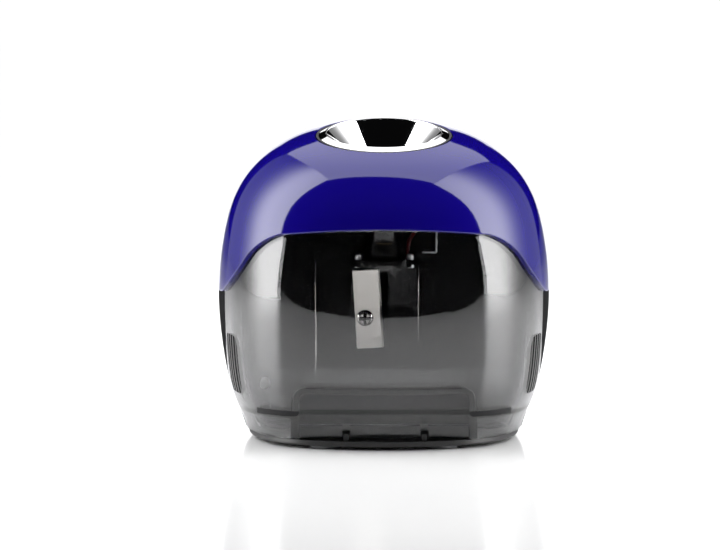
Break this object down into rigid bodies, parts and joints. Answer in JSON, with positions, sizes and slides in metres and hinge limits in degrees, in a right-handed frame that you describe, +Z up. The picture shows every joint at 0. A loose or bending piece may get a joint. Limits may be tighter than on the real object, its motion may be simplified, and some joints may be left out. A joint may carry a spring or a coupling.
{
  "type": "electric pencil sharpener",
  "caption": "Battery pencil sharpener: dome housing with chrome funnel, smoky pull-out shavings bin with wrap-around visor, and a geared spinning cutter.",
  "frame": {"origin": "bottom centre of the body, on the surface the feet stand on", "axes": "+Z up, -Y front (the shavings bin pulls out towards -Y), +X to the right seen from the front"},
  "size_m": [0.098, 0.0973, 0.0936],
  "materials": {
    "blue_plastic": "deep blue, high gloss",
    "smoky_plastic": "clear smoke grey, polished",
    "black_plastic": "black, fine texture",
    "grip_rubber": "black, ribbed",
    "foot_rubber": "dark grey",
    "chrome": "mirror",
    "blade_steel": "ground",
    "steel": "zinc plated",
    "gear_plastic": "natural white acetal",
    "brass": "bright",
    "motor_steel": "nickel plated",
    "contact_nickel": "nickel plated",
    "cell_wrap": "printed film, plain",
    "red_insulation": "dark red pvc",
    "black_insulation": "black pvc"
  },
  "bodies": {
    "housing": {"upper_housing": "blue_plastic", "rear_housing": "black_plastic", "base_plate": "black_plastic", "rubber_feet": "foot_rubber", "housing_screws": "steel", "chassis": "black_plastic", "dome_screws": "steel", "idler_axle": "steel", "cutter_bush": "brass", "gear_cover": "black_plastic", "start_switch": "black_plastic", "funnel_dish": "chrome", "dish_seat": "black_plastic", "motor_can": "motor_steel", "motor_end_cap": "black_plastic", "motor_terminals": "brass", "motor_screws": "steel", "battery_box": "black_plastic", "contact_plates": "contact_nickel", "battery_springs": "contact_nickel", "battery_cell_1": "cell_wrap", "battery_cell_2": "cell_wrap", "battery_cell_3": "cell_wrap", "battery_cell_4": "cell_wrap", "safety_switch": "black_plastic", "contact_leaf": "contact_nickel", "red_wire": "red_insulation", "black_wire": "black_insulation", "wire_grommet": "grip_rubber"},
    "bin": {"shavings_bin": "smoky_plastic", "bin_grip_left": "grip_rubber", "bin_grip_right": "grip_rubber"},
    "cutter": {"cutter_holder": "black_plastic", "blade": "blade_steel", "blade_screw": "steel", "holder_pins": "steel", "cutter_gear": "gear_plastic", "retaining_ring": "steel"},
    "idler": {"idler_gear": "gear_plastic"},
    "rotor": {"motor_rotor": "motor_steel", "motor_pinion": "brass"},
    "start_plunger": {"start_plunger": "gear_plastic"},
    "safety_plunger": {"safety_plunger": "gear_plastic"},
    "battery_door": {"battery_door": "black_plastic"}
  },
  "joints": [
    {"name": "bin_slide", "type": "slide", "parent": "housing", "child": "bin", "axis": [0, -1, 0], "range_m": [0, 0.065]},
    {"name": "cutter_spin", "type": "hinge", "parent": "housing", "child": "cutter", "pos_m": [0, -0.0056, 0.05], "axis": [0, 0, 1], "continuous": true},
    {"name": "idler_spin", "type": "hinge", "parent": "housing", "child": "idler", "pos_m": [0.01356, 0.01018, 0.07], "axis": [0, 0, 1], "continuous": true},
    {"name": "rotor_spin", "type": "hinge", "parent": "housing", "child": "rotor", "pos_m": [0, 0.0214, 0.07], "axis": [0, 0, 1], "continuous": true},
    {"name": "start_press", "type": "slide", "parent": "housing", "child": "start_plunger", "axis": [1, 0, 0], "range_m": [0, 0.0012], "stiffness_N_per_m": 120},
    {"name": "safety_press", "type": "slide", "parent": "housing", "child": "safety_plunger", "axis": [0, 1, 0], "range_m": [0, 0.0012], "stiffness_N_per_m": 150},
    {"name": "door_pull", "type": "slide", "parent": "housing", "child": "battery_door", "axis": [0, 1, 0], "range_m": [0, 0.03]}
  ],
  "couplings": [
    {"joint": "idler_spin", "follows": "cutter_spin", "ratio": -3.3333},
    {"joint": "rotor_spin", "follows": "cutter_spin", "ratio": 11.333}
  ]
}
